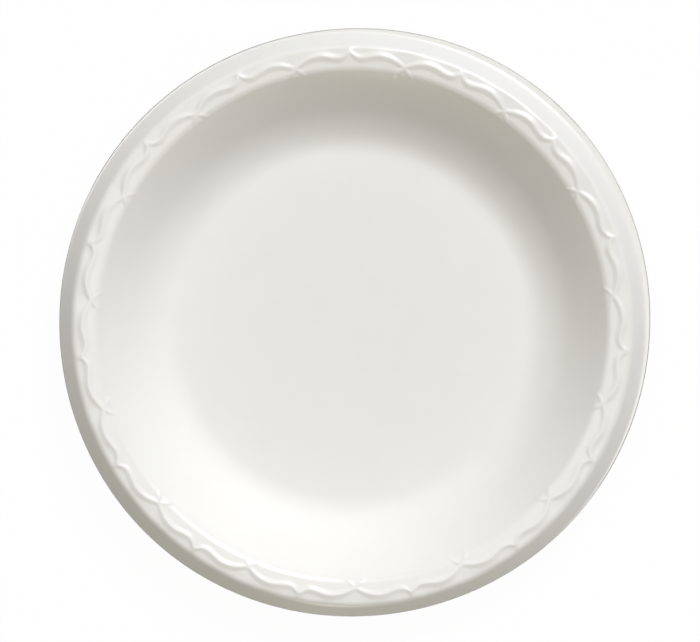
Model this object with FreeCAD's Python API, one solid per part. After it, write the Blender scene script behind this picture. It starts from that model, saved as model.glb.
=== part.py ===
import FreeCAD, Part
import math
import os

# A round dinner plate thermoformed from one sheet of foamed polystyrene, then cut from the sheet.
# Flat base, one long curve that opens out into a sloped wall, and a rolled rim with a border of
# raised brackets: inside each bracket a panel climbs to a bead, and outside it falls to the lip.
# The sheet keeps its thickness all over, so the underside follows the top.
#
# Millimetres, +Z up. The origin is the middle of the cut outline, on the plane the plate rests on.
# The form's own axis stands a little to one side of it, because the plate was cut off centre.

# The cut outline
plateDiameter = 225.0      # mean width across the cut edge
cutOffset = 1.6            # how far the form's axis stands from the middle of the outline
cutOffsetAngle = 54.0      # the side with the wider flange, from +X
cutPoints = 60             # places round the outline that its curve passes through

# The foam relaxes as it is cut, which leaves the outline a little out of round
cutWaves = [
    {"lobes": 2, "size": 0.58, "peak": 30.0},
    {"lobes": 3, "size": 0.12, "peak": 32.6},
    {"lobes": 4, "size": 0.28, "peak": 50.2},
]

# The sheet
foamThickness = 1.8

# The form's section, from the rim inwards; widths are measured across, without the slope
flangeWidth = 0.95         # flat flange at the mean of the outline
lipWidth = 5.75            # slope down from the rim to the flange
outerBandWidth = 5.8       # nearly level, from the crown out to the lip
innerBandWidth = 3.2       # from the wall up to the crown
crownHeight = 19.8         # crown above the top of the base

heelAngle = 23.0           # slopes, in degrees from level: where the base curve opens out
wallAngle = 42.0
innerBandAngle = 10.4
outerBandAngle = 0.5
lipAngle = 48.0

footRadius = 20.0          # roundings, measured on the top surface: out of the base
heelRadius = 35.0          # and on into the wall
shoulderRadius = 4.8
crownRadius = 4.0
lipRadius = 3.0
flangeRadius = 1.0

# The border of brackets
bracketCount = 15
firstCuspAngle = 90.6      # where one of the outward cusps points, from +X
crestShare = 0.5           # roundness of the bead's crest, as a share of its width
beadSink = 0.2             # the bead's root below the surface it stands on
overLift = 0.04            # how much higher one strand stands where two cross
handleShare = 0.36         # fullness of the strand's curves, as a share of each chord
panelReach = 2.9           # how far out from the crown a panel climbs
panelRunOut = 1.7          # how far it fades into the lip's rounding
panelSink = 0.12           # the panel's root below the surface it stands on

# One strand, from a cusp to its end past the crossing. The angle is a share of half a bracket, the
# radius is measured from the crown, the heading is from the tangent, and the rest is the bead's.
strand = [
    {"name": "cusp", "share": 0.0, "out": 5.1, "heading": -90.0, "width": 0.8, "height": 0.08},
    {"name": "trough", "share": 0.205, "out": 1.25, "heading": 0.0, "width": 3.1, "height": 0.33},
    {"name": "arch", "share": 0.54, "out": 2.3, "heading": 0.0, "width": 3.2, "height": 0.3},
    {"name": "crossing", "share": 1.0, "out": -0.9, "heading": -33.0, "width": 2.3, "height": 0.3},
    {"name": "tail", "share": 1.15, "out": -3.9, "heading": -46.0, "width": 1.5, "height": 0.18},
]
stationsPerCurve = 4
panelShares = [0.0, 0.1, 0.205, 0.36, 0.54, 0.7, 0.84, 0.97]    # where a panel gets a section

# Worked out from the sizes above
flangeCorner = plateDiameter / 2 - flangeWidth
lipCorner = flangeCorner - lipWidth
crownCorner = lipCorner - outerBandWidth
shoulderCorner = crownCorner - innerBandWidth


def rise(run, angle):
    return run * math.tan(math.radians(angle))


def heading(angle):
    """Unit vector at an angle from level, in the plane of the section."""
    a = math.radians(angle)
    return FreeCAD.Vector(math.cos(a), math.sin(a), 0)


def roundedCorner(corner, angleIn, angleOut, radius):
    """Start, middle, end and centre of the arc that rounds a corner between two slopes."""
    half = math.radians(angleOut - angleIn) / 2
    reach = radius * abs(math.tan(half))
    start = corner - heading(angleIn) * reach
    end = corner + heading(angleOut) * reach
    side = math.copysign(1, half)
    toCentre = heading((angleIn + angleOut) / 2 + 90 * side)
    centre = corner + toCentre * (radius / math.cos(half))
    middle = centre - toCentre * radius
    return start, middle, end, centre


def topCorners():
    """The sharp corners of the top surface, with the slopes that meet there and the rounding."""
    crownZ = foamThickness + crownHeight
    shoulderZ = crownZ - rise(innerBandWidth, innerBandAngle)
    footToHeel = footRadius * math.tan(math.radians(heelAngle / 2))
    footToHeel += heelRadius * math.tan(math.radians((wallAngle - heelAngle) / 2))
    heelZ = foamThickness + footToHeel * math.sin(math.radians(heelAngle))
    heelCorner = shoulderCorner - (shoulderZ - heelZ) / math.tan(math.radians(wallAngle))
    footCorner = heelCorner - footToHeel * math.cos(math.radians(heelAngle))
    lipZ = crownZ - rise(outerBandWidth, outerBandAngle)
    flangeZ = lipZ - rise(lipWidth, lipAngle)
    return [
        (FreeCAD.Vector(footCorner, foamThickness, 0), 0, heelAngle, footRadius),
        (FreeCAD.Vector(heelCorner, heelZ, 0), heelAngle, wallAngle, heelRadius),
        (FreeCAD.Vector(shoulderCorner, shoulderZ, 0), wallAngle, innerBandAngle, shoulderRadius),
        (FreeCAD.Vector(crownCorner, crownZ, 0), innerBandAngle, -outerBandAngle, crownRadius),
        (FreeCAD.Vector(lipCorner, lipZ, 0), -outerBandAngle, -lipAngle, lipRadius),
        (FreeCAD.Vector(flangeCorner, flangeZ, 0), -lipAngle, 0, flangeRadius),
    ]


def undersideCorners():
    """The same corners one foam thickness below, with roundings about the same centres."""
    corners = []
    for corner, angleIn, angleOut, radius in topCorners():
        half = math.radians(angleOut - angleIn) / 2
        down = heading((angleIn + angleOut) / 2 - 90)
        below = corner + down * (foamThickness / math.cos(half))
        corners.append((below, angleIn, angleOut, radius + math.copysign(foamThickness, half)))
    return corners


def surfaceHeight(radius):
    """Height of the top surface at a distance from the form's axis."""
    for corner, angleIn, angleOut, rounding in topCorners():
        start, middle, end, centre = roundedCorner(corner, angleIn, angleOut, rounding)
        if radius < start.x:
            return corner.y + rise(radius - corner.x, angleIn)
        if radius < end.x:
            bulge = math.sqrt(rounding ** 2 - (radius - centre.x) ** 2)
            return centre.y + math.copysign(bulge, middle.y - centre.y)
    return topCorners()[-1][0].y


def chain(corners, first, last):
    """Lines and arcs from the first point through the rounded corners to the last."""
    edges = []
    here = first
    for corner, angleIn, angleOut, radius in corners:
        start, middle, end, centre = roundedCorner(corner, angleIn, angleOut, radius)
        if (start - here).Length > 0.001:
            edges.append(Part.LineSegment(here, start).toShape())
        else:
            start = here
        edges.append(Part.Arc(start, middle, end).toShape())
        here = end
    edges.append(Part.LineSegment(here, last).toShape())
    return edges


def sheet():
    """The formed sheet, turned about the form's axis and wide enough to be cut anywhere."""
    reach = plateDiameter / 2 + cutOffset + sum(wave["size"] for wave in cutWaves) + flangeWidth
    top = topCorners()
    under = undersideCorners()
    topIn = FreeCAD.Vector(0, foamThickness, 0)
    topOut = FreeCAD.Vector(reach, top[-1][0].y, 0)
    underIn = FreeCAD.Vector(0, 0, 0)
    underOut = FreeCAD.Vector(reach, under[-1][0].y, 0)
    edges = chain(top, topIn, topOut)
    edges.append(Part.LineSegment(topOut, underOut).toShape())
    edges += chain(under, underIn, underOut)
    edges.append(Part.LineSegment(underIn, topIn).toShape())
    section = Part.Face(Part.Wire(Part.__sortEdges__(edges)))
    section.rotate(FreeCAD.Vector(), FreeCAD.Vector(1, 0, 0), 90)
    return section.revolve(FreeCAD.Vector(), FreeCAD.Vector(0, 0, 1), 360)


def onPlan(share, out):
    """A point of the border seen from above, with a cusp pointing along +X."""
    angle = math.radians(share * 180 / bracketCount)
    radius = crownCorner + out
    return FreeCAD.Vector(radius * math.cos(angle), radius * math.sin(angle), 0)


def planHeading(share, fromTangent):
    """A direction seen from above, given from the tangent at that place in the border."""
    return heading(share * 180 / bracketCount + 90 - fromTangent)


def ease(a, b, t):
    return a + (b - a) * t * t * (3 - 2 * t)


def strandCurves():
    """The strand's curves seen from above, each with the stations it runs between."""
    curves = []
    for a, b in zip(strand, strand[1:]):
        first = onPlan(a["share"], a["out"])
        last = onPlan(b["share"], b["out"])
        handle = (last - first).Length * handleShare
        leaves = first + planHeading(a["share"], a["heading"]) * handle
        arrives = last - planHeading(b["share"], b["heading"]) * handle
        curve = Part.BezierCurve()
        curve.setPoles([first, leaves, arrives, last])
        curves.append((a, b, curve))
    return curves


def bracketRadius(share):
    """How far from the form's axis the bracket's line is, at a share of half a bracket."""
    angle = math.radians(share * 180 / bracketCount)
    for a, b, curve in strandCurves():
        if share <= b["share"]:
            low = 0.0
            high = 1.0
            for step in range(20):
                middle = (low + high) / 2
                point = curve.value(middle)
                if math.atan2(point.y, point.x) < angle:
                    low = middle
                else:
                    high = middle
            return curve.value(low).Length
    return crownCorner


def panelLine(share):
    """Radius and height where a panel's top bends: at its peak, over the lip and at its end."""
    peak = min(max(bracketRadius(share), crownCorner), crownCorner + panelReach)
    peakHeight = foamThickness + crownHeight + rise(peak - crownCorner, innerBandAngle)
    relief = peakHeight - surfaceHeight(peak)
    lipStart = roundedCorner(*topCorners()[4])[0].x
    end = lipStart + panelRunOut
    bend = lipStart + panelRunOut / 3
    bendHeight = surfaceHeight(bend) + relief * (end - bend) / (end - peak)
    return [(peak, peakHeight), (bend, bendHeight), (end, surfaceHeight(end))]


def groundHeight(point):
    """Height of the top surface with its panels, seen from above with a cusp along +X."""
    radius = point.Length
    share = abs(math.degrees(math.atan2(point.y, point.x))) * bracketCount / 180
    line = [(crownCorner, foamThickness + crownHeight)] + panelLine(min(share, 2 - share))
    for (inner, innerHeight), (outer, outerHeight) in zip(line, line[1:]):
        if inner < radius < outer:
            along = (radius - inner) / (outer - inner)
            return max(surfaceHeight(radius), innerHeight + (outerHeight - innerHeight) * along)
    return surfaceHeight(radius)


def panel():
    """The raised panel inside one bracket, through radial sections from cusp to crossing."""
    shares = [-share for share in reversed(panelShares[1:])] + panelShares
    inner = crownCorner - 0.6
    sections = []
    for share in shares:
        (peak, peakHeight), (bend, bendHeight), (end, endHeight) = panelLine(abs(share))
        drop = panelSink * share ** 4
        corners = [
            FreeCAD.Vector(inner, 0, surfaceHeight(inner) - 4 * panelSink),
            FreeCAD.Vector(inner, 0, surfaceHeight(inner) - panelSink),
            FreeCAD.Vector(max(peak, inner + 1), 0, peakHeight - drop),
            FreeCAD.Vector(bend, 0, bendHeight - drop),
            FreeCAD.Vector(end, 0, endHeight - panelSink / 2),
            FreeCAD.Vector(end, 0, endHeight - 4 * panelSink),
        ]
        wire = Part.makePolygon(corners + corners[:1])
        wire.rotate(FreeCAD.Vector(), FreeCAD.Vector(0, 0, 1), share * 180 / bracketCount)
        sections.append(wire)
    return Part.makeLoft(sections, True, False)


def beadSection(point, along, width, height):
    """The bead's roof-like section with a rounded crest, square to the strand."""
    across = FreeCAD.Vector(along.y, -along.x, 0)
    half = width / 2
    left = FreeCAD.Vector(-half, groundHeight(point - across * half), 0)
    right = FreeCAD.Vector(half, groundHeight(point + across * half), 0)
    ridge = FreeCAD.Vector(0, groundHeight(point) + height, 0)
    up = math.degrees(math.atan2(ridge.y - left.y, half))
    down = math.degrees(math.atan2(right.y - ridge.y, half))
    start, middle, end, centre = roundedCorner(ridge, up, down, width * crestShare)
    rootLeft = left - heading(up) * (beadSink / math.sin(math.radians(abs(up - down) / 2)))
    rootRight = right + heading(down) * (beadSink / math.sin(math.radians(abs(up - down) / 2)))
    edges = [
        Part.LineSegment(rootLeft, start).toShape(),
        Part.Arc(start, middle, end).toShape(),
        Part.LineSegment(end, rootRight).toShape(),
        Part.LineSegment(rootRight, rootLeft).toShape(),
    ]
    wire = Part.Wire(edges)
    place = FreeCAD.Matrix(
        across.x, 0, -along.x, point.x,
        across.y, 0, -along.y, point.y,
        0, 1, 0, 0,
        0, 0, 0, 1,
    )
    return wire.transformGeometry(place)


def strandOfBead(lift):
    """One strand of bead from the middle of a cusp to its tail past the crossing."""
    sections = []
    for a, b, curve in strandCurves():
        for step in range(1 if sections else 0, stationsPerCurve + 1):
            t = step / stationsPerCurve
            width = ease(a["width"], b["width"], t)
            height = ease(a["height"], b["height"], t) + lift
            sections.append(beadSection(curve.value(t), curve.tangent(t)[0], width, height))
    return Part.makeLoft(sections, True, False)


def border():
    """The panels and the beads: two strands to a bracket, which meet in the middle of its cusp."""
    side = plateDiameter
    pastCusp = Part.makeBox(2 * side, side, side, FreeCAD.Vector(-side, 0, -side / 2))
    over = strandOfBead(overLift).common(pastCusp)
    under = strandOfBead(0).common(pastCusp).mirror(FreeCAD.Vector(), FreeCAD.Vector(0, 1, 0))
    raised = []
    bracket = panel().fuse([over, under])
    for number in range(bracketCount):
        placed = bracket.copy()
        turn = firstCuspAngle + number * 360 / bracketCount
        placed.rotate(FreeCAD.Vector(), FreeCAD.Vector(0, 0, 1), turn)
        raised.append(placed)
    return raised


def cutRadius(angle):
    """The outline's distance from its middle at an angle from +X."""
    radius = plateDiameter / 2
    for wave in cutWaves:
        radius += wave["size"] * math.cos(math.radians((angle - wave["peak"]) * wave["lobes"]))
    return radius


def cutOutline():
    """The prism inside the cut outline, which is one closed smooth curve."""
    places = [360 * number / cutPoints for number in range(cutPoints)]
    outline = Part.BSplineCurve()
    outline.interpolate([heading(angle) * cutRadius(angle) for angle in places], PeriodicFlag=True)
    prism = Part.Face(Part.Wire(outline.toShape())).extrude(FreeCAD.Vector(0, 0, plateDiameter))
    prism.translate(FreeCAD.Vector(0, 0, -plateDiameter / 2))
    return prism


def plate():
    formed = sheet().fuse(border()).removeSplitter()
    formed.translate(heading(cutOffsetAngle) * -cutOffset)
    return formed.common(cutOutline()).Solids[0]


os.makedirs("parts", exist_ok=True)
foamPlate = plate()
foamPlate.exportStep("parts/foam_plate.step")
print("foam_plate:", len(foamPlate.Faces), "faces,", round(foamPlate.Volume), "cubic mm,",
      "valid" if foamPlate.isValid() else "not valid")
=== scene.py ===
import math
import bpy
import bmesh
import numpy as np
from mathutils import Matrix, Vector
from mathutils.geometry import interpolate_bezier


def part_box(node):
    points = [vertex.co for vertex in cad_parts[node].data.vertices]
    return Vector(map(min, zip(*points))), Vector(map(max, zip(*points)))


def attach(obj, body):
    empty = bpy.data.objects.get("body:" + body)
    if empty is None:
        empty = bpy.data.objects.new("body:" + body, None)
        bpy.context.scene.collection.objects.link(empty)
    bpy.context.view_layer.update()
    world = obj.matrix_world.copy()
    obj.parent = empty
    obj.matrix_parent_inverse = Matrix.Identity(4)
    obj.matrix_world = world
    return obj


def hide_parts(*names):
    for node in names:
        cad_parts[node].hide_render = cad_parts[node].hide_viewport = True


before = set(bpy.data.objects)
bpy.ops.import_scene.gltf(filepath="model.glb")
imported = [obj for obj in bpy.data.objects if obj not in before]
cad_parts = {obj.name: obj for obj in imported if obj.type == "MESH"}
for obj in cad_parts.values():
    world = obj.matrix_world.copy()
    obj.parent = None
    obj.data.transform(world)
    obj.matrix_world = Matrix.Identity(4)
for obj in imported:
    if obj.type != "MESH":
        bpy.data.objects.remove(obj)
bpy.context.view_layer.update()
mm = 0.001


def hexToLinear(code):  # sRGB hex to the linear colour that shaders take
    parts = [int(code[i:i + 2], 16) / 255 for i in (1, 3, 5)]
    return [c / 12.92 if c <= 0.04045 else ((c + 0.055) / 1.055) ** 2.4 for c in parts] + [1]


def addNode(tree, kind, settings=None, links=None, **properties):
    # settings and links go by the input's name or number; a link is (node, output)
    node = tree.nodes.new(kind)
    for name, value in properties.items():
        setattr(node, name, value)
    for name, value in (settings or {}).items():
        node.inputs[name].default_value = value
    for name, (source, output) in (links or {}).items():
        tree.links.new(source.outputs[output], node.inputs[name])
    return node


def newMaterial(name):
    material = bpy.data.materials.new(name)
    material.use_nodes = True
    material.node_tree.nodes.clear()
    return material, material.node_tree


def onCircle(radius, degrees):
    angle = math.radians(degrees)
    return Vector((radius * math.cos(angle), radius * math.sin(angle), 0))


def slope(degrees):
    return math.tan(math.radians(degrees))


# The plate's form, in millimetres and degrees. Radii are from the form's own axis.
plateForm = {
    "plateDiameter": 225.0,
    "cutOffset": 1.6,
    "cutOffsetAngle": 54.0,
    "cutWaves": [(2, 0.58, 30.0), (3, 0.12, 32.6), (4, 0.28, 50.2)],  # lobes, size, a peak
    "foamThickness": 1.8,
    "flangeWidth": 0.95,
    "lipWidth": 5.75,
    "outerBandWidth": 5.8,
    "innerBandWidth": 3.2,
    "crownHeight": 19.8,
    "heelAngle": 23.0,
    "wallAngle": 42.0,
    "innerBandAngle": 10.4,
    "outerBandAngle": 0.5,
    "lipAngle": 48.0,
    "footRadius": 20.0,
    "heelRadius": 35.0,
    "shoulderRadius": 4.8,
    "crownRadius": 4.0,
    "lipRadius": 3.0,
    "flangeRadius": 1.0,
    "edgePinch": 0.3,       # how far the cutter rounds the corners of the cut edge
    "edgeSegments": 3,
    "cutFaceTilt": 0.3,     # a face whose normal rises less than this is part of the cut edge
    "footLead": 2.0,        # the curve's fine mesh starts this far inside the foot
    "drawnWidth": 5.0,      # the outer strip that is drawn in or out to the cut outline
    "edgeWidth": 1.6,       # the strip along the cut edge that gets the finest mesh
    "overrun": 20.0,        # how far the section's line runs on past the cut
    "columns": 390,         # steps of the spin
    "arcSteps": 24,         # steps in each rounding of the section's line
    "outlineSteps": 720,    # steps round the outline, to measure it
    "sectionSteps": {       # steps in each stretch of the section: on top, underneath
        "base": (3, 3),
        "curve": (20, 14),
        "wall": (4, 4),
        "border": (9, 12),
        "lip": (3, 3),
        "rim": (3, 3),
        "edge": (9, 5),
    },
}

# The border of brackets. Shares are of half a bracket, "out" is from the crown, headings are from
# the tangent, and width and height are the bead's.
border = {
    "count": 15,
    "firstCuspAngle": 90.6,
    "flankHollow": 1.25,    # 1 is a straight flank, more is a hollow one with soft feet
    "crestShare": 0.14,     # of the bead's width, how softly its crest is rounded
    "overLift": 0.04,
    "handleShare": 0.36,
    "strand": [
        {"share": 0.0, "out": 5.1, "heading": -90.0, "width": 0.8, "height": 0.06},
        {"share": 0.205, "out": 1.1, "heading": 0.0, "width": 3.1, "height": 0.31},
        {"share": 0.54, "out": 2.3, "heading": 0.0, "width": 3.2, "height": 0.27},
        {"share": 1.0, "out": -0.9, "heading": -33.0, "width": 2.3, "height": 0.27},
        {"share": 1.15, "out": -3.9, "heading": -46.0, "width": 1.5, "height": 0.16},
    ],
    "panelEnd": 2.9,        # how far out from the crown the panel inside a bracket can climb
    "panelRunOut": 1.7,     # how far it fades into the lip's rounding
    "strandSteps": 20,      # steps between two places on a strand
    "from": 95.6,           # the part of the rim that gets the fine mesh
    "to": 105.8,
    "margin": 1.0,          # relief is looked for this far past it
    "cuts": 3,
}


def cutOutline(f, angle):
    # distance from the middle of the outline to the cut edge
    radius = f["plateDiameter"] / 2
    for lobes, size, peak in f["cutWaves"]:
        radius = radius + size * np.cos((angle - math.radians(peak)) * lobes)
    return radius


def formAxis(f):
    return -onCircle(f["cutOffset"], f["cutOffsetAngle"])


def cutRadius(f, angle):
    # distance from the form's axis to the cut edge, found in a few steps
    axis = formAxis(f)
    rounds = 6
    reach = np.full(len(angle), f["plateDiameter"] / 2)
    for step in range(rounds):
        x = axis.x + reach * np.cos(angle)
        y = axis.y + reach * np.sin(angle)
        reach = reach + cutOutline(f, np.arctan2(y, x)) - np.hypot(x, y)
    return reach


def fitToBox(f, low, high):
    # the diameter that gives the outline the same widths as the CAD part's
    around = np.linspace(0, 2 * math.pi, f["outlineSteps"] + 1)
    reach = cutOutline(f, around)
    spans = np.ptp(reach * np.cos(around)) + np.ptp(reach * np.sin(around))
    f["plateDiameter"] += ((high.x - low.x + high.y - low.y) / mm - spans) / 2


def formCorners(f):
    # the sharp corners of the top surface: radius, height, slope in, slope out, rounding
    flange = f["plateDiameter"] / 2 - f["flangeWidth"]
    lip = flange - f["lipWidth"]
    crown = lip - f["outerBandWidth"]
    shoulder = crown - f["innerBandWidth"]
    crownZ = f["foamThickness"] + f["crownHeight"]
    shoulderZ = crownZ - f["innerBandWidth"] * slope(f["innerBandAngle"])
    footToHeel = f["footRadius"] * slope(f["heelAngle"] / 2)
    footToHeel += f["heelRadius"] * slope((f["wallAngle"] - f["heelAngle"]) / 2)
    heelZ = f["foamThickness"] + footToHeel * math.sin(math.radians(f["heelAngle"]))
    heel = shoulder - (shoulderZ - heelZ) / slope(f["wallAngle"])
    foot = heel - footToHeel * math.cos(math.radians(f["heelAngle"]))
    lipZ = crownZ - f["outerBandWidth"] * slope(f["outerBandAngle"])
    flangeZ = lipZ - f["lipWidth"] * slope(f["lipAngle"])
    return [
        (foot, f["foamThickness"], 0, f["heelAngle"], f["footRadius"]),
        (heel, heelZ, f["heelAngle"], f["wallAngle"], f["heelRadius"]),
        (shoulder, shoulderZ, f["wallAngle"], f["innerBandAngle"], f["shoulderRadius"]),
        (crown, crownZ, f["innerBandAngle"], -f["outerBandAngle"], f["crownRadius"]),
        (lip, lipZ, -f["outerBandAngle"], -f["lipAngle"], f["lipRadius"]),
        (flange, flangeZ, -f["lipAngle"], 0, f["flangeRadius"]),
    ]


def formLine(f, under):
    # the section's line as fine points, top or underside; roundings are true arcs
    points = [(0.0, 0.0 if under else f["foamThickness"])]
    for r, z, slopeIn, slopeOut, rounding in formCorners(f):
        half = math.radians(slopeOut - slopeIn) / 2
        middle = math.radians(slopeIn + slopeOut) / 2
        side = math.copysign(1, half)
        toCentre = Vector((-math.sin(middle), math.cos(middle))) * side
        centre = Vector((r, z)) + toCentre * (rounding / math.cos(half))
        arc = rounding + side * f["foamThickness"] if under else rounding
        for i in range(f["arcSteps"] + 1):
            turn = middle + half * (2 * i / f["arcSteps"] - 1)
            radius = centre.x + side * arc * math.sin(turn)
            height = centre.y - side * arc * math.cos(turn)
            points.append((radius, height))
    points.append((radius + f["overrun"], height))
    return np.array(points)


def sectionRadii(f, b, under):
    # where the section's line gets a point on its way out
    edge = f["plateDiameter"] / 2
    corners = formCorners(f)
    foot = corners[0][0] - f["footRadius"] * slope(f["heelAngle"] / 2)
    heel = corners[1][0] + f["heelRadius"] * slope((f["wallAngle"] - f["heelAngle"]) / 2)
    ends = {
        "base": foot - f["footLead"],
        "curve": heel,
        "wall": b["from"],
        "border": b["to"],
        "lip": edge - f["drawnWidth"],
        "rim": edge - f["edgeWidth"],
        "edge": edge,
    }
    radii = [0.0]
    start = 0.0
    for stretch, end in ends.items():
        steps = f["sectionSteps"][stretch][1 if under else 0]
        radii += [start + (end - start) * (i + 1) / steps for i in range(steps)]
        start = end
    return radii


def spinPlate(f, b, topLine, underLine):
    bm = bmesh.new()
    top = [(r, np.interp(r, *topLine.T)) for r in sectionRadii(f, b, False)]
    under = [(r, np.interp(r, *underLine.T)) for r in sectionRadii(f, b, True)]
    line = [bm.verts.new((r * mm, 0, z * mm)) for r, z in top + under[::-1]]
    for a, c in zip(line, line[1:]):
        bm.edges.new((a, c))
    bmesh.ops.spin(
        bm, geom=bm.verts[:] + bm.edges[:], cent=(0, 0, 0), axis=(0, 0, 1),
        angle=2 * math.pi, steps=f["columns"], use_merge=True,
    )
    bmesh.ops.remove_doubles(bm, verts=bm.verts, dist=1e-7)
    bmesh.ops.recalc_face_normals(bm, faces=bm.faces)
    fine = {
        face for face in bm.faces
        if face.normal.z > 0 and b["from"] < face.calc_center_median().xy.length / mm < b["to"]
    }
    edges = [edge for edge in bm.edges if fine.intersection(edge.link_faces)]
    bmesh.ops.subdivide_edges(bm, edges=edges, cuts=b["cuts"], use_grid_fill=True)
    print("plate spun:", len(bm.faces), "faces")
    return bm


def strandLine(b, crown):
    # points along one strand, with a cusp along +X: x, y and the bead's width and height
    points = []
    steps = b["strandSteps"]
    for start, end in zip(b["strand"], b["strand"][1:]):
        ends = []
        for place in (start, end):
            at = place["share"] * 180 / b["count"]
            ends.append(onCircle(crown + place["out"], at))
            ends.append(onCircle(1, at + 90 - place["heading"]))
        p, goes, q, comes = ends
        handle = (q - p).length * b["handleShare"]
        curve = interpolate_bezier(p, p + goes * handle, q - comes * handle, q, steps + 1)
        for i in range(1 if points else 0, steps + 1):
            t = i / steps
            ease = t * t * (3 - 2 * t)
            width = start["width"] + (end["width"] - start["width"]) * ease
            height = start["height"] + (end["height"] - start["height"]) * ease
            points.append((curve[i].x, curve[i].y, width, height))
    return np.array(points)


def nearestOnLine(x, y, line):
    # distance from each point to the line, and the bead's width and height there
    best = np.full(len(x), 1e9)
    width = np.ones(len(x))
    height = np.zeros(len(x))
    for (ax, ay, wa, ha), (bx, by, wb, hb) in zip(line, line[1:]):
        dx, dy = bx - ax, by - ay
        t = np.clip(((x - ax) * dx + (y - ay) * dy) / (dx * dx + dy * dy), 0, 1)
        away = np.hypot(x - ax - t * dx, y - ay - t * dy)
        nearer = away < best
        best[nearer] = away[nearer]
        width[nearer] = (wa + (wb - wa) * t)[nearer]
        height[nearer] = (ha + (hb - ha) * t)[nearer]
    return best, width, height


def panelRelief(f, b, line, radius, fold):
    # inside a bracket the inner band climbs on as far as the bead, and falls from there to the lip
    crown, lip = formCorners(f)[3][0], formCorners(f)[4][0]
    climb = slope(f["innerBandAngle"]) + slope(f["outerBandAngle"])
    lipRounding = f["lipRadius"] * slope((f["lipAngle"] - f["outerBandAngle"]) / 2)
    end = lip - lipRounding + b["panelRunOut"]
    lineAngle = np.arctan2(line[:, 1], line[:, 0])
    lineRadius = np.hypot(line[:, 0], line[:, 1])
    bead = np.interp(np.abs(fold), lineAngle, lineRadius)
    bead = np.clip(bead, crown, crown + b["panelEnd"])
    inside = (radius - crown) * climb
    outside = (bead - crown) * climb * (end - radius) / (end - bead)
    return np.clip(np.minimum(inside, outside), 0, None)


def borderRelief(f, b, radius, angle):
    # beads with hollow flanks; of two that cross, the one that goes anticlockwise is on top
    line = strandLine(b, formCorners(f)[3][0])
    pitch = 2 * math.pi / b["count"]
    turned = (angle - math.radians(b["firstCuspAngle"]) + pitch / 2) % pitch - pitch / 2
    relief = np.zeros(len(radius))
    for fold, lift in ((turned, 1), (-turned, 0), (pitch - turned, 0), (pitch + turned, 1)):
        x, y = radius * np.cos(fold), radius * np.sin(fold)
        away, width, height = nearestOnLine(x, y, line)
        crest = b["crestShare"] * width
        away = np.sqrt(away ** 2 + crest ** 2) - crest
        flank = np.clip(1 - away / (width / 2), 0, 1) ** b["flankHollow"]
        relief = np.maximum(relief, (height + lift * b["overLift"]) * flank)
    return relief + panelRelief(f, b, line, radius, turned)


def shapeRim(bm, f, b, topLine, underLine):
    # draws the outer rows in or out to the cut outline, then raises the border
    verts = bm.verts[:]
    place = np.array([v.co for v in verts]) / mm
    radius = np.hypot(place[:, 0], place[:, 1])
    angle = np.arctan2(place[:, 1], place[:, 0])
    topZ = np.interp(radius, *topLine.T)
    underZ = np.interp(radius, *underLine.T)
    isTop = np.abs(place[:, 2] - topZ) < np.abs(place[:, 2] - underZ)
    nominal = f["plateDiameter"] / 2
    steady = nominal - f["drawnWidth"]
    outer = radius > steady
    stretch = (cutRadius(f, angle[outer]) - steady) / (nominal - steady)
    radius[outer] = steady + (radius[outer] - steady) * stretch
    height = np.where(isTop, np.interp(radius, *topLine.T), np.interp(radius, *underLine.T))
    raised = isTop & (radius > b["from"] - b["margin"]) & (radius < b["to"] + b["margin"])
    height[raised] += borderRelief(f, b, radius[raised], angle[raised])
    axis = formAxis(f)
    for v, r, a, z in zip(verts, radius, angle, height):
        v.co = ((r * math.cos(a) + axis.x) * mm, (r * math.sin(a) + axis.y) * mm, z * mm)
    print("rim shaped, border raised to", round(float(height.max()), 2), "mm")


def finishEdge(bm, f):
    # the cut face gets the second material, darkened as painted shade, and the cutter's pinch
    # rounds its corners with the same material
    bm.normal_update()
    cutFaces = {face for face in bm.faces if abs(face.normal.z) < f["cutFaceTilt"]}
    corners = [e for e in bm.edges if len(cutFaces.intersection(e.link_faces)) == 1]
    for face in cutFaces:
        face.material_index = 1
    bmesh.ops.bevel(
        bm, geom=corners, offset=f["edgePinch"] * mm, affect="EDGES",
        segments=f["edgeSegments"], profile=0.5, material=1,
    )
    for face in bm.faces:
        face.smooth = True
    print("cut edge finished:", len(bm.faces), "faces")


# Laminated polystyrene foam, thermoformed: a satin skin that dips a little over each cell. The rim
# is pressed harder against the mould than the well, so its skin is glossier.
foamSkin = {
    "colour": "#E9E9E6",
    "patchColour": "#E6E5E3",
    "patchSize": 14.0,
    "patchDetail": 4.0,
    "wellRoughness": 0.6,
    "rimRoughness": 0.3,
    "glossStarts": 4.0,     # inside the shoulder
    "glossEnds": 1.0,
    "cellSize": 0.8,
    "cellDepth": 0.03,
    "rippleSize": 6.0,
    "rippleDetail": 3.0,
    "rippleDepth": 0.08,
    "reliefStrength": 0.25,
    "refraction": 1.5,
}

# The sawn side of the foam: open cells without their skin, so it is dull. Its colours are darkened
# as painted shade, standing for the shadow line along the cut edge.
cutFoam = {
    "colour": "#D9D7D1",
    "shadedCellRimColour": "#C2C0BA",
    "cellSize": 0.35,
    "cellDepth": 0.1,
    "reliefStrength": 0.6,
    "roughness": 0.85,
    "refraction": 1.5,
}


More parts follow.
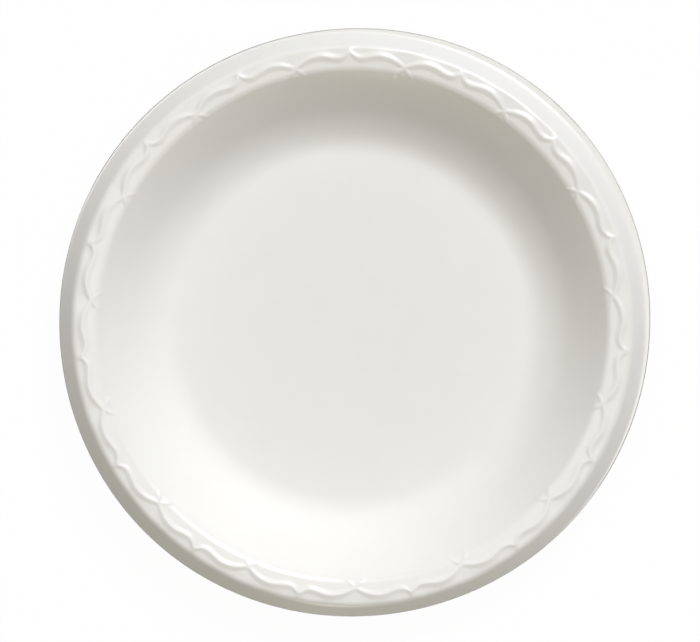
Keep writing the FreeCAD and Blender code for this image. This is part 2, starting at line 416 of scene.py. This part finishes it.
def foamSkinMaterial(f, skin):
    material, tree = newMaterial("foamSkin")
    where = addNode(tree, "ShaderNodeTexCoord")
    here = {"Vector": (where, "Object")}
    fromAxis = addNode(
        tree, "ShaderNodeVectorMath", {1: formAxis(f) * mm}, {0: (where, "Object")},
        operation="SUBTRACT",
    )
    level = addNode(
        tree, "ShaderNodeVectorMath", {1: (1, 1, 0)}, {0: (fromAxis, 0)}, operation="MULTIPLY",
    )
    radius = addNode(tree, "ShaderNodeVectorMath", None, {0: (level, 0)}, operation="LENGTH")
    shoulder = formCorners(f)[2][0]
    roughness = addNode(
        tree, "ShaderNodeMapRange",
        {
            "From Min": (shoulder - skin["glossStarts"]) * mm,
            "From Max": (shoulder - skin["glossEnds"]) * mm,
            "To Min": skin["wellRoughness"],
            "To Max": skin["rimRoughness"],
        },
        {"Value": (radius, "Value")}, interpolation_type="SMOOTHSTEP",
    )
    cells = addNode(
        tree, "ShaderNodeTexVoronoi", {"Scale": 1 / (skin["cellSize"] * mm)}, here,
        feature="SMOOTH_F1",
    )
    waves = addNode(
        tree, "ShaderNodeTexNoise",
        {"Scale": 1 / (skin["rippleSize"] * mm), "Detail": skin["rippleDetail"]}, here,
    )
    patches = addNode(
        tree, "ShaderNodeTexNoise",
        {"Scale": 1 / (skin["patchSize"] * mm), "Detail": skin["patchDetail"]}, here,
    )
    colour = addNode(
        tree, "ShaderNodeMixRGB",
        {"Color1": hexToLinear(skin["colour"]), "Color2": hexToLinear(skin["patchColour"])},
        {"Fac": (patches, "Fac")},
    )
    dimples = addNode(
        tree, "ShaderNodeBump",
        {"Strength": skin["reliefStrength"], "Distance": skin["cellDepth"] * mm},
        {"Height": (cells, "Distance")},
    )
    ripples = addNode(
        tree, "ShaderNodeBump",
        {"Strength": skin["reliefStrength"], "Distance": skin["rippleDepth"] * mm},
        {"Height": (waves, "Fac"), "Normal": (dimples, "Normal")},
    )
    shader = addNode(
        tree, "ShaderNodeBsdfPrincipled", {"IOR": skin["refraction"]},
        {
            "Base Color": (colour, "Color"),
            "Roughness": (roughness, "Result"),
            "Normal": (ripples, "Normal"),
        },
    )
    addNode(tree, "ShaderNodeOutputMaterial", None, {"Surface": (shader, "BSDF")})
    return material


def cutFoamMaterial(cut):
    material, tree = newMaterial("cutFoam")
    where = addNode(tree, "ShaderNodeTexCoord")
    cells = addNode(
        tree, "ShaderNodeTexVoronoi", {"Scale": 1 / (cut["cellSize"] * mm)},
        {"Vector": (where, "Object")}, feature="F1",
    )
    # painted shade: the cut face's darkened colours, darker still toward each cell's rim
    colour = addNode(
        tree, "ShaderNodeMixRGB",
        {"Color1": hexToLinear(cut["colour"]), "Color2": hexToLinear(cut["shadedCellRimColour"])},
        {"Fac": (cells, "Distance")},
    )
    dimples = addNode(
        tree, "ShaderNodeBump",
        {"Strength": cut["reliefStrength"], "Distance": cut["cellDepth"] * mm},
        {"Height": (cells, "Distance")},
    )
    shader = addNode(
        tree, "ShaderNodeBsdfPrincipled",
        {"Roughness": cut["roughness"], "IOR": cut["refraction"]},
        {"Base Color": (colour, "Color"), "Normal": (dimples, "Normal")},
    )
    addNode(tree, "ShaderNodeOutputMaterial", None, {"Surface": (shader, "BSDF")})
    return material


# Sizes are in millimetres, but the floor's is in metres.
studio = {
    # azimuth, elevation, degrees across for soft shadows, strength, colour
    "lamps": {
        "keyLamp": (65, 42.5, 28, 2.56, "#F3F5FC"),
        "backFill": (130, 50, 40, 0.43, "#FFF6D2"),
        "sideFill": (330, 40, 40, 0.27, "#FFF5D0"),
        "lowFill": (265, 1.5, 10, 0.64, "#FFF6DC"),
    },
    "ceilingStrength": 0.16,
    "ceilingFade": 3.0,      # more keeps the ceiling's light closer to straight above
    "ceilingColour": "#FFFDF7",
    "overheadPower": 1.89,   # a long softbox just above the camera
    "overheadLength": 900,
    "overheadWidth": 140,
    "overheadAzimuth": 155,
    "overheadHeight": 930,
    "lens": 120.0,
    "frameWidth": 266.5,     # across the view, at the height of the flange
    "cameraAside": (-1.87, 0.34),
    "floorSize": 20.0,
    "floorDrop": 0.2,
    "floorDim": "#B4B4B4",   # what the floor lights the plate with
    "floorPaper": "#F4F4F2",
    "floorGlow": 0.97,       # the rest of the seen floor takes shadows
}


def buildLamp(s, name):
    azimuth, elevation, spread, strength, colour = s["lamps"][name]
    lampData = bpy.data.lights.new(name, "SUN")
    lampData.energy = strength
    lampData.angle = math.radians(spread)
    lampData.color = hexToLinear(colour)[:3]
    lamp = bpy.data.objects.new(name, lampData)
    toLamp = onCircle(math.cos(math.radians(elevation)), azimuth)
    toLamp.z = math.sin(math.radians(elevation))
    lamp.rotation_euler = toLamp.to_track_quat("Z", "Y").to_euler()
    lamp.location = toLamp
    bpy.context.scene.collection.objects.link(lamp)


def buildOverhead(s):
    lampData = bpy.data.lights.new("overhead", "AREA")
    lampData.shape = "RECTANGLE"
    lampData.size = s["overheadLength"] * mm
    lampData.size_y = s["overheadWidth"] * mm
    lampData.energy = s["overheadPower"]
    lampData.color = hexToLinear(s["ceilingColour"])[:3]
    lamp = bpy.data.objects.new("overhead", lampData)
    lamp.location = (0, 0, s["overheadHeight"] * mm)
    lamp.rotation_euler = (0, 0, math.radians(s["overheadAzimuth"]))
    bpy.context.scene.collection.objects.link(lamp)


def seenRays(tree):
    # 1 for rays that show a thing, straight or by a mirror or glass, 0 for those that light it
    rays = addNode(tree, "ShaderNodeLightPath")
    seen = (rays, "Is Camera Ray")
    for kind in ("Is Glossy Ray", "Is Transmission Ray"):
        either = addNode(
            tree, "ShaderNodeMath", None, {0: seen, 1: (rays, kind)}, operation="MAXIMUM",
        )
        seen = (either, 0)
    return seen


def buildWorld(s):
    # white where it is seen; its light is brightest straight above and fades to the horizon
    world = bpy.data.worlds.new("studioWorld")
    world.use_nodes = True
    tree = world.node_tree
    tree.nodes.clear()
    where = addNode(tree, "ShaderNodeTexCoord")
    axes = addNode(tree, "ShaderNodeSeparateXYZ", None, {0: (where, "Generated")})
    above = addNode(
        tree, "ShaderNodeMath", {1: 0.0}, {0: (axes, "Z")}, operation="MAXIMUM",
    )
    faded = addNode(
        tree, "ShaderNodeMath", {1: s["ceilingFade"]}, {0: (above, 0)}, operation="POWER",
    )
    level = addNode(
        tree, "ShaderNodeMath", {1: s["ceilingStrength"]}, {0: (faded, 0)}, operation="MULTIPLY",
    )
    ceiling = addNode(
        tree, "ShaderNodeBackground", {"Color": hexToLinear(s["ceilingColour"])},
        {"Strength": (level, 0)},
    )
    white = addNode(tree, "ShaderNodeBackground", {"Color": (1, 1, 1, 1), "Strength": 1.0})
    mix = addNode(
        tree, "ShaderNodeMixShader", None, {0: seenRays(tree), 1: (ceiling, 0), 2: (white, 0)},
    )
    addNode(tree, "ShaderNodeOutputWorld", None, {"Surface": (mix, 0)})
    bpy.context.scene.world = world


def buildCamera(s, f):
    cameraData = bpy.data.cameras.new("camera")
    cameraData.lens = s["lens"]
    camera = bpy.data.objects.new("camera", cameraData)
    away = s["frameWidth"] * s["lens"] / cameraData.sensor_width + formCorners(f)[5][1]
    camera.location = Vector((*s["cameraAside"], away)) * mm
    bpy.context.scene.collection.objects.link(camera)
    bpy.context.scene.camera = camera


def buildFloor(s):
    # white where it is seen, with a light shadow, and dim where it would light the plate from below
    bm = bmesh.new()
    bmesh.ops.create_grid(bm, x_segments=1, y_segments=1, size=s["floorSize"])
    bmesh.ops.translate(bm, verts=bm.verts, vec=(0, 0, -s["floorDrop"] * mm))
    mesh = bpy.data.meshes.new("floor")
    bm.to_mesh(mesh)
    bm.free()
    floor = bpy.data.objects.new("floor", mesh)
    bpy.context.scene.collection.objects.link(floor)
    material, tree = newMaterial("whiteSweep")
    dim = addNode(tree, "ShaderNodeBsdfDiffuse", {"Color": hexToLinear(s["floorDim"])})
    paper = addNode(tree, "ShaderNodeBsdfDiffuse", {"Color": hexToLinear(s["floorPaper"])})
    glow = addNode(tree, "ShaderNodeEmission", {"Color": (1, 1, 1, 1), "Strength": 1.0})
    white = addNode(
        tree, "ShaderNodeMixShader", {0: s["floorGlow"]}, {1: (paper, 0), 2: (glow, 0)},
    )
    mix = addNode(
        tree, "ShaderNodeMixShader", None, {0: seenRays(tree), 1: (dim, 0), 2: (white, 0)},
    )
    addNode(tree, "ShaderNodeOutputMaterial", None, {"Surface": (mix, 0)})
    mesh.materials.append(material)


fitToBox(plateForm, *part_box("foam_plate"))
topLine = formLine(plateForm, False)
underLine = formLine(plateForm, True)
bm = spinPlate(plateForm, border, topLine, underLine)
shapeRim(bm, plateForm, border, topLine, underLine)
finishEdge(bm, plateForm)
mesh = bpy.data.meshes.new("foamPlate")
bm.to_mesh(mesh)
bm.free()
mesh.materials.append(foamSkinMaterial(plateForm, foamSkin))
mesh.materials.append(cutFoamMaterial(cutFoam))
plate = bpy.data.objects.new("foamPlate", mesh)
bpy.context.scene.collection.objects.link(plate)
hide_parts("foam_plate")
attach(plate, "root")
print("plate finished:", sum(len(p.vertices) - 2 for p in mesh.polygons), "triangles")

bpy.context.scene.view_settings.view_transform = "Standard"
for name in studio["lamps"]:
    buildLamp(studio, name)
buildOverhead(studio)
buildWorld(studio)
buildCamera(studio, plateForm)
buildFloor(studio)
print("studio built")
